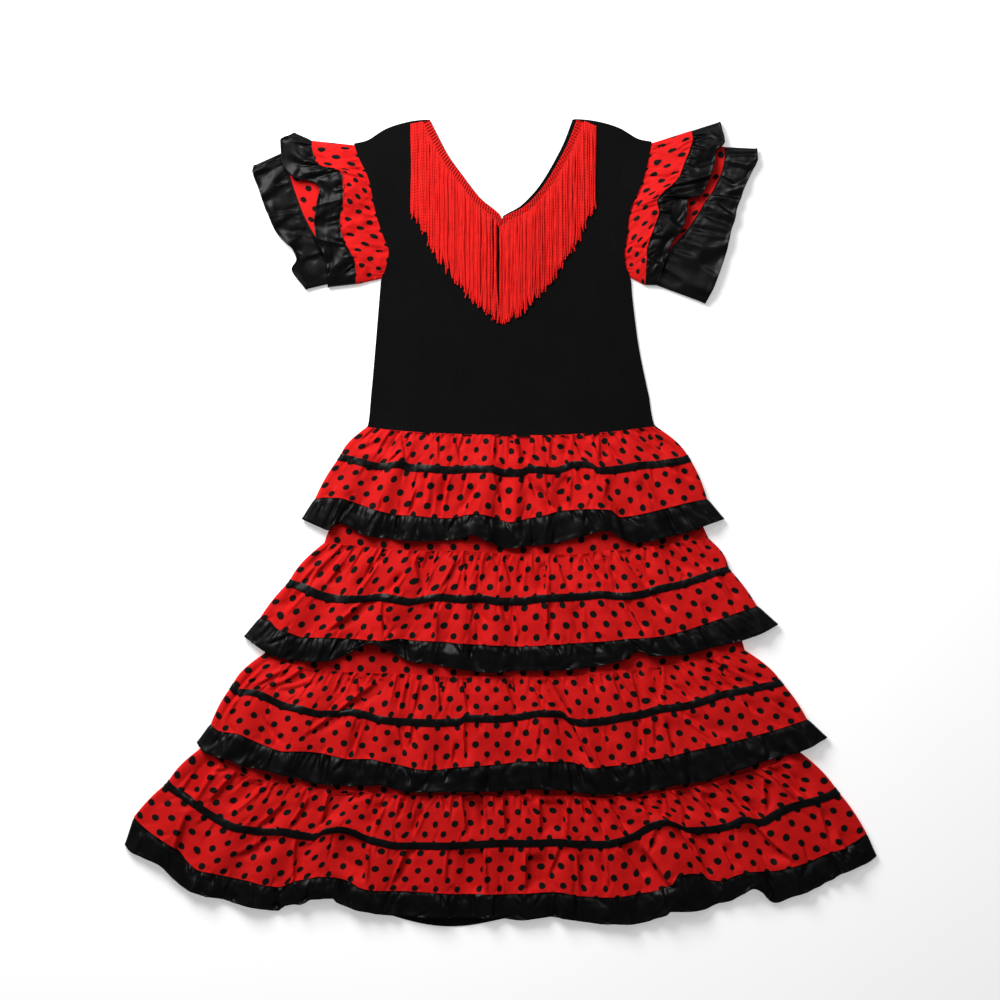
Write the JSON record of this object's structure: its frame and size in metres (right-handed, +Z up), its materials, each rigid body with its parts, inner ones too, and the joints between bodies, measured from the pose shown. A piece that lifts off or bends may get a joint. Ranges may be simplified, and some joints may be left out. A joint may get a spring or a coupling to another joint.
{
  "type": "flamenco dress",
  "caption": "Child's flamenco dress laid flat: black V-neck bodice with red fringe, short frilled sleeves and a tiered red skirt with black dots, ribbons and satin ruffles.",
  "frame": {"origin": "middle of the dress's outline, on the surface it lies on", "axes": "+Z up, out of the dress's front; +Y from the hem towards the neck; +X to the right as seen from above"},
  "size_m": [0.7533, 0.8066, 0.0173],
  "materials": {
    "jersey": "matte stretch jersey",
    "dotted": "matte plain-weave cloth with printed black dots",
    "satin": "satin",
    "fringe": "soft twisted rayon fringe and braid"
  },
  "bodies": {
    "root": {"bodice_front": "jersey", "bodice_back": "jersey", "fringe_left": "fringe", "fringe_right": "fringe", "base_1": "dotted", "base_2": "dotted", "base_3": "dotted", "tier_1_flounce": "dotted", "tier_2_flounce": "dotted", "tier_3_flounce": "dotted", "tier_4_flounce": "dotted", "sleeve_left_upper": "dotted", "sleeve_left_lower": "dotted", "sleeve_right_upper": "dotted", "sleeve_right_lower": "dotted", "tier_1_ribbon": "satin", "tier_1_ruffle": "satin", "tier_2_ribbon": "satin", "tier_2_ruffle": "satin", "tier_3_ribbon": "satin", "tier_3_ruffle": "satin", "tier_4_ribbon": "satin", "tier_4_ruffle": "satin", "sleeve_left_frill": "satin", "sleeve_left_cuff": "satin", "sleeve_right_frill": "satin", "sleeve_right_cuff": "satin"}
  },
  "joints": []
}
